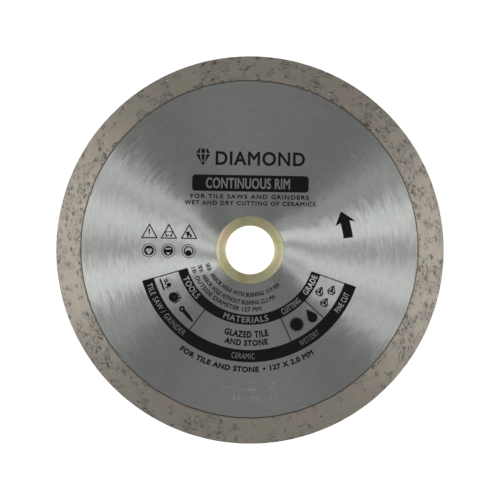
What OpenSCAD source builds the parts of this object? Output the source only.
// Diamond blade with a continuous rim, and the reducing bushing in its arbor hole.
// The disc lies flat with its printed face up. Its axis is Z, and the origin is
// on that axis at half the blade's thickness. Millimetres.

/* [Diamond rim] */
// Diameter across the rim
blade_d = 127; // [122:0.5:180]
// Height of the sintered rim, from its inner step to its edge
rim_h = 8; // [6:0.5:9]
// Thickness of the rim
rim_t = 2; // [1.8:0.1:2.6]
// How far the edge of the steel core runs into the rim
seat_depth = 2; // [1:0.5:3]
// How far each side of that edge is stepped down below the core's faces
seat_step = 0.1; // [0.05:0.05:0.15]
// Dressed corners of the rim
rim_chamfer = 0.15; // [0.05:0.05:0.2]

/* [Diamond crystals] */
// Width of one crystal
crystal_w = 0.42; // [0.25:0.01:0.45]
// How far a crystal stands out of the cutting edge
crystal_proud = 0.05; // [0.01:0.01:0.1]
// Crystals that lie bare in each side face
side_crystals = 84; // [12:12:96]
// Crystals that lie bare in the cutting edge
edge_crystals = 72; // [12:12:96]

/* [Steel core] */
// Thickness of the core
core_t = 1.5; // [1.2:0.1:1.6]
// Diameter of the arbor hole
arbor_d = 22.225; // [20:0.005:25.4]
// Chamfer on both edges of the arbor hole
arbor_chamfer = 0.1; // [0.05:0.05:0.2]
// Keying notches in the core's edge, which the rim fills
key_count = 24; // [12:1:36]
// Radius of one notch
key_r = 0.8; // [0.4:0.1:0.9]
// Depth of the stamped direction mark
stamp_depth = 0.05; // [0.03:0.01:0.1]

/* [Reducing bushing] */
// Bore of the bushing
bore_d = 15.875; // [12:0.005:18]
// Gap all round between the bushing and the arbor hole
bushing_gap = 0.03; // [0.01:0.01:0.09]
// Thickness of the bushing
bushing_t = 1.4; // [1.1:0.1:1.5]
// Chamfer on the bushing's edges
bushing_chamfer = 0.1; // [0.05:0.05:0.2]

/* [Printed figures] */
// Thickness of the ink
ink_t = 0.03; // [0.01:0.01:0.05]
// Width of the thin printed lines
line_w = 0.35; // [0.2:0.05:0.4]
// How far the whole print is turned about the blade's axis
print_turn = -1; // [-3:0.5:3]
// Start of the curved panel, in degrees from +X
panel_from = 196.9; // [190:0.1:200]
// End of the curved panel
panel_to = 341.9; // [335:0.1:350]
// Inner radius of the panel's inner band
panel_r_in = 21.3; // [21:0.1:22]
// Outer radius of the panel's outer band
panel_r_out = 36.8; // [36:0.1:37.5]
// Height of the inner band
inner_band_h = 3.2; // [2.5:0.1:3.5]
// Height of the outer band
outer_band_h = 4; // [3:0.1:4.5]

/* [Hidden] */
$fn = 96;

steel = [0.62, 0.63, 0.62];
bond = [0.60, 0.57, 0.53];
diamond = [0.80, 0.78, 0.66];
zinc = [0.75, 0.73, 0.52];
ink = [0.10, 0.10, 0.09];

blade_r = blade_d / 2;
rim_r_in = blade_r - rim_h;
core_r = rim_r_in + seat_depth;
arbor_r = arbor_d / 2;
bore_r = bore_d / 2;
bushing_r = arbor_r - bushing_gap;
core_top = core_t / 2;
inner_band_r = panel_r_in + inner_band_h;
outer_band_r = panel_r_out - outer_band_h;
mark_r = 1.62;
golden = 0.618034;
cut_extra = 0.5;

// ---- Steel core ----

// Ring section from r_in to r_out and t thick, with chamfer c on the edges named
module chamfered_ring(r_in, r_out, t, c_in, c_out) {
  rotate_extrude()
    polygon([
      [r_in, -t / 2 + c_in], [r_in + c_in, -t / 2],
      [r_out - c_out, -t / 2], [r_out, -t / 2 + c_out],
      [r_out, t / 2 - c_out], [r_out - c_out, t / 2],
      [r_in + c_in, t / 2], [r_in, t / 2 - c_in]
    ]);
}

module key_notches() {
  for (i = [0 : key_count - 1])
    rotate(i * 360 / key_count)
      translate([core_r, 0, -core_t])
        cylinder(r = key_r, h = 2 * core_t);
}

// Core with its stepped-down, notched edge, before its holes and its mark
module core_blank() {
  cylinder(r = rim_r_in, h = core_t, center = true);
  difference() {
    cylinder(r = core_r, h = core_t - 2 * seat_step, center = true);
    key_notches();
  }
}

// Straight bar of width w between two points
module bar(a, b, w) {
  run = b - a;
  translate(a)
    rotate(atan2(run.y, run.x))
      translate([0, -w / 2])
        square([norm(run), w]);
}

// Pressed direction mark: a bent line with an open arrow head over a row of short strokes
module stamp() {
  mark_w = 0.35;
  arc_r = 45.6;
  head = [8.4, -43.5];
  stroke_r = 48.6;
  translate([0, 0, core_top - stamp_depth]) {
    rotate(258.5)
      rotate_extrude(angle = 17.5)
        translate([arc_r, 0])
          square([mark_w, cut_extra]);
    linear_extrude(cut_extra) {
      bar(head, [4.4, -42.9], mark_w);
      bar(head, [5.8, -46.2], mark_w);
    }
    for (a = [262, 263.8, 265.6, 271, 272.8, 276, 277.8, 280])
      rotate(a + 90)
        translate([-mark_w / 2, -stroke_r - 0.9, 0])
          cube([mark_w, 1.8, cut_extra]);
  }
}

module steel_core() {
  color(steel)
    difference() {
      core_blank();
      cylinder(r = arbor_r, h = 2 * core_t, center = true);
      for (side = [0, 1])
        mirror([0, 0, side])
          translate([0, 0, core_top - arbor_chamfer])
            cylinder(r1 = arbor_r, r2 = arbor_r + 2 * arbor_chamfer, h = 2 * arbor_chamfer);
      stamp();
    }
}

// ---- Diamond rim and its crystals ----

module crystal() {
  cube(crystal_w, center = true);
}

// Crystals whose flat tops lie level with the side face at +Z, outside the core's edge
module side_grit(start) {
  innermost_r = core_r + crystal_w;
  outermost_r = blade_r - 0.8;
  for (i = [0 : side_crystals - 1])
    rotate(start + i * 360 / side_crystals)
      translate([innermost_r + (outermost_r - innermost_r) * ((i * golden) % 1), 0, 0])
        translate([0, 0, rim_t / 2 - crystal_w / 2])
          rotate(i * 77)
            crystal();
}

module grit_front() {
  side_grit(1);
}

module grit_back() {
  mirror([0, 0, 1])
    side_grit(3.2);
}

module grit_edge() {
  rows = [-0.55, 0, 0.55];
  for (i = [0 : edge_crystals - 1])
    rotate(i * 360 / edge_crystals)
      translate([blade_r + crystal_proud - crystal_w / 2, 0, rows[i % 3]])
        crystal();
}

module diamond_rim() {
  color(bond)
    difference() {
      chamfered_ring(rim_r_in, blade_r, rim_t, rim_chamfer, rim_chamfer);
      core_blank();
      grit_front();
      grit_back();
      grit_edge();
    }
}

module diamond_grit_front() {
  color(diamond) grit_front();
}

module diamond_grit_back() {
  color(diamond) grit_back();
}

module diamond_grit_edge() {
  color(diamond) grit_edge();
}

// ---- Reducing bushing ----

module reducing_bushing() {
  color(zinc)
    chamfered_ring(bore_r, bushing_r, bushing_t, bushing_chamfer, bushing_chamfer);
}

// ---- Printed figures ----

// A flat figure laid on the core's printed face
module printed() {
  color(ink)
    rotate(print_turn)
      translate([0, 0, core_top])
        linear_extrude(ink_t)
          children();
}

// Band on an arc between two angles, laid on the printed face
module printed_arc(r_in, r_out, from, to) {
  color(ink)
    rotate(print_turn + from)
      rotate_extrude(angle = to - from)
        translate([r_in, core_top])
          square([r_out - r_in, ink_t]);
}

// Moves a figure to an angle and radius of the panel, its top towards the blade's centre
module on_panel(angle, r) {
  rotate(angle - 270)
    translate([0, -r])
      children();
}

// Row of word blocks of the given lengths, starting at x and standing on y
module word_row(x, y, h, words, gap) {
  for (i = [0 : len(words) - 1])
    translate([x + sum_to(words, i) + i * gap, y])
      square([words[i], h]);
}

function sum_to(list, n) = n <= 0 ? 0 : list[n - 1] + sum_to(list, n - 1);

// Word blocks bent round an arc. Each word is given as its start and end angle
module word_arc(r_in, r_out, words) {
  for (w = words)
    printed_arc(r_in, r_out, w[0], w[1]);
}

// Cut gem w wide and h high with its facet lines left open
module gem(w, h, gap) {
  girdle = h * 0.2;
  table = w * 0.27;
  difference() {
    polygon([
      [-w / 2, girdle], [-table, h / 2], [table, h / 2], [w / 2, girdle], [0, -h / 2]
    ]);
    bar([-w, girdle], [w, girdle], gap);
    bar([-table * 0.7, girdle], [-table * 0.7 + w * 0.12, -h * 0.3], gap);
    bar([table * 0.7, girdle], [table * 0.7 - w * 0.12, -h * 0.3], gap);
    bar([-table * 0.7, girdle], [-table * 0.1, h], gap);
    bar([table * 0.7, girdle], [table * 0.1, h], gap);
  }
}

module print_emblem() {
  emblem_w = 5;
  emblem_h = 5.6;
  printed()
    translate([-15.9, 30.2])
      gem(emblem_w, emblem_h, 0.42);
}

module print_wordmark() {
  letters = [3.4, 1.2, 3.6, 4, 3.8, 3.6, 3.4];
  printed()
    word_row(-11.8, 27.7, 4.5, letters, 1.05);
}

module print_banner() {
  banner_w = 38.2;
  banner_h = 5.4;
  corner = 1;
  printed()
    translate([-0.25, 21.8]) {
      square([banner_w - 2 * corner, banner_h], center = true);
      square([banner_w, banner_h - 2 * corner], center = true);
      for (x = [-1, 1], y = [-1, 1])
        translate([x * (banner_w / 2 - corner), y * (banner_h / 2 - corner)])
          circle(r = corner);
    }
}

module print_caption_lines() {
  printed() {
    word_row(-19.8, 16.75, 1.35, [4.2, 11.6, 6.6, 4.6, 7.4], 1.1);
    word_row(-21.7, 14.6, 1.35, [4.6, 3.2, 4.9, 10.2, 11.6, 4.2], 0.95);
  }
}

// Triangle of three round-ended bars of width line
module triangle_outline(w, h, line) {
  corners = [[-w / 2, 0], [w / 2, 0], [0, h]];
  for (i = [0 : 2]) {
    bar(corners[i], corners[(i + 1) % 3], line);
    translate(corners[i])
      circle(d = line);
  }
}

// Spark: a narrow flash that points down
module spark_mark() {
  polygon([[-0.3, 2.9], [0.26, 3], [0.1, 2], [0.3, 2], [-0.06, 0.5], [-0.04, 1.6], [-0.24, 1.6]]);
}

// Bench machine: a hollow case on two feet
module machine_mark() {
  difference() {
    translate([-1.15, 0.75])
      square([2.3, 1.45]);
    translate([-0.85, 1.05])
      square([1.7, 0.9]);
  }
  for (x = [-0.8, 0.8])
    translate([x - 0.2, 0.4])
      square([0.4, 0.35]);
}

// Disc that bites into a tile, with a plume of chips thrown off it
module chips_mark() {
  difference() {
    translate([0.1, 0.75])
      circle(r = 0.85);
    translate([-1, -0.3])
      square([2.2, 0.65]);
    translate([0.1, 0.75])
      circle(r = 0.28);
  }
  translate([-0.5, 1.75])
    circle(r = 0.5);
  polygon([[-1.1, 0.9], [-0.9, 1.9], [-0.3, 2.3], [0.6, 2.15], [0.1, 1.75], [-0.5, 1.5]]);
}

module print_triangle_signs() {
  sign_w = 4.95;
  sign_h = 4.4;
  sign_line = 0.38;
  base_y = 3.45;
  printed() {
    for (x = [-33.05, -26.65, -20.05])
      translate([x, base_y])
        triangle_outline(sign_w, sign_h, sign_line);
    translate([-33.05, base_y])
      spark_mark();
    translate([-26.65, base_y])
      machine_mark();
    translate([-20.05, base_y])
      chips_mark();
  }
}

module ring_2d(r_out, w) {
  difference() {
    circle(r = r_out);
    circle(r = r_out - w);
  }
}

// Ear defenders: a thick band that narrows to two cups, round an open middle
module ear_mark() {
  difference() {
    circle(r = mark_r);
    for (x = [-0.46, 0.46])
      translate([x, 0.1])
        circle(r = 0.58);
    polygon([[-1, -0.1], [1, -0.1], [0, -1.45]]);
  }
}

// Goggles: a wide lens between its frame and the nose
module goggle_mark() {
  difference() {
    circle(r = mark_r);
    translate([-0.95, 0.42])
      square([1.9, 0.5]);
    polygon([[-0.75, -0.6], [0.75, -0.6], [0, -1.35]]);
  }
}

// Dust mask: a round shell on its strap
module mask_mark() {
  ring_2d(mark_r, 0.4);
  translate([-0.1, -0.7])
    circle(r = 0.98);
}

module print_ring_signs() {
  outer_r = 2.27;
  outer_line = 0.2;
  ring_y = -0.7;
  printed() {
    for (x = [-33.1, -26.8, -20.1])
      translate([x, ring_y])
        ring_2d(outer_r, outer_line);
    translate([-33.1, ring_y])
      ear_mark();
    translate([-26.8, ring_y])
      goggle_mark();
    translate([-20.1, ring_y])
      mask_mark();
  }
}

module print_rotation_arrow() {
  shaft_r_in = 30.9;
  shaft_r_out = 34;
  printed_arc(shaft_r_in, shaft_r_out, 8, 17.6);
  printed()
    polygon([
      polar(32.4, 24.1), polar(29.05, 16.5), polar(30.9, 17.55), polar(34, 17.55), polar(36, 16.15)
    ]);
}

function polar(r, angle) = [r * cos(angle), r * sin(angle)];

module print_panel_bands() {
  printed_arc(panel_r_in, inner_band_r, panel_from, panel_to);
  printed_arc(outer_band_r, panel_r_out, panel_from, panel_to);
}

module print_panel_lines() {
  dividers = [233.8, 295.4, 318.3];
  end_inset = line_w / 2 / inner_band_r * 180 / PI;
  printed()
    for (a = concat([panel_from + end_inset], dividers, [panel_to - end_inset]))
      bar(polar(inner_band_r, a), polar(outer_band_r, a), line_w);
}

// Table saw seen from its side: a bench, a fence, a motor and the disc
module table_saw_icon() {
  translate([-2, -0.35])
    square([4, 0.6]);
  translate([-1.4, 0.95])
    square([1.9, 0.4]);
  translate([-1.5, 1.75])
    square([1.3, 0.4]);
  translate([-0.7, 1.3])
    square([0.4, 0.5]);
  translate([0.95, 2])
    circle(r = 0.72);
  translate([1.25, 0.75])
    square([0.45, 0.7]);
}

// Hand-held disc saw seen from its side: a guarded disc, its foot plate and a handle
module disc_saw_icon() {
  difference() {
    circle(r = 1.6);
    circle(r = 0.25);
  }
  translate([-1.7, -0.3])
    square([3.7, 0.45]);
  translate([-1.1, 1.7])
    square([2.9, 0.34]);
  translate([1.1, -1.2])
    square([0.45, 2.9]);
  translate([1.75, -0.9])
    square([0.35, 2.1]);
}

// Angle grinder: a small disc and its gear head on a tapered body
module grinder_icon() {
  difference() {
    circle(r = 0.98);
    circle(r = 0.3);
  }
  polygon([[0.3, -0.5], [1.2, -0.62], [3, -0.55], [5.4, -0.4], [5.4, 0.32], [3, 0.62], [1.2, 0.66], [0.3, 0.5]]);
}

module print_tool_icons() {
  printed() {
    on_panel(202.4, 30.9) table_saw_icon();
    on_panel(212.6, 29.4) disc_saw_icon();
    on_panel(221.9, 29.5) grinder_icon();
  }
}

module print_material_words() {
  word_arc(26.6, 28.7, [[253.8, 263.2], [265.2, 272.4], [274.4, 283.4]]);
  word_arc(29.6, 31.4, [[254.6, 283]]);
}

module print_burst_and_drop() {
  spikes = 26;
  drop_r = 1.65;
  printed() {
    translate([15.7, -24.1])
      polygon([for (i = [0 : 2 * spikes - 1]) polar(i % 2 == 0 ? 2.65 : 1.95, i * 180 / spikes)]);
    translate([20.85, -21.75]) {
      circle(r = drop_r);
      rotate(38)
        polygon([[-drop_r * 0.92, drop_r * 0.39], [0, 3.4], [drop_r * 0.92, drop_r * 0.39]]);
    }
  }
}

// Cut gem w wide and h high drawn in lines, its point up
module line_gem(w, h, line) {
  girdle = -h * 0.22;
  table = w * 0.3;
  facet = w * 0.2;
  for (side = [-1, 1]) {
    bar([side * w / 2, girdle], [0, h / 2], line);
    bar([side * w / 2, girdle], [side * table, -h / 2], line);
    bar([side * facet, girdle], [side * table, -h / 2], line * 0.6);
  }
  polygon([[-facet, girdle], [facet, girdle], [0, h / 2]]);
  bar([-w / 2 - line / 3, girdle], [w / 2 + line / 3, girdle], line);
  bar([-table - line / 3, -h / 2], [table + line / 3, -h / 2], line);
}

module print_gems() {
  gem_w = 2.6;
  gem_h = 2.9;
  gem_turn = -86;
  gem_line = 0.34;
  printed()
    for (spot = [[326.3, 29.9], [335.1, 29.9], [330.7, 26.6]])
      on_panel(spot[0], spot[1])
        rotate(gem_turn)
          line_gem(gem_w, gem_h, gem_line);
}

module print_size_arcs() {
  word_arc(18.8, 20.2, [[197.5, 201], [205, 230.5], [233, 262], [264.5, 282]]);
  word_arc(16.6, 18, [[198, 202], [206, 225], [228, 243], [246, 272], [275, 299]]);
  word_arc(14, 15.4, [[199, 203.5], [209, 226], [230, 256], [260, 285], [289, 311]]);
}

module print_footer() {
  word_arc(38.3, 40.1, [[235.7, 241.5], [243.5, 251], [253, 260.5], [262.5, 275]]);
  word_arc(38.3, 40.1, [[280.5, 286.5], [288, 290], [291.5, 296.5], [298, 302.6]]);
  printed()
    on_panel(277.8, 39.2) circle(r = 0.45);
}

steel_core();
diamond_rim();
diamond_grit_front();
diamond_grit_back();
diamond_grit_edge();
reducing_bushing();
print_emblem();
print_wordmark();
print_banner();
print_caption_lines();
print_triangle_signs();
print_ring_signs();
print_rotation_arrow();
print_panel_bands();
print_panel_lines();
print_tool_icons();
print_material_words();
print_burst_and_drop();
print_gems();
print_size_arcs();
print_footer();
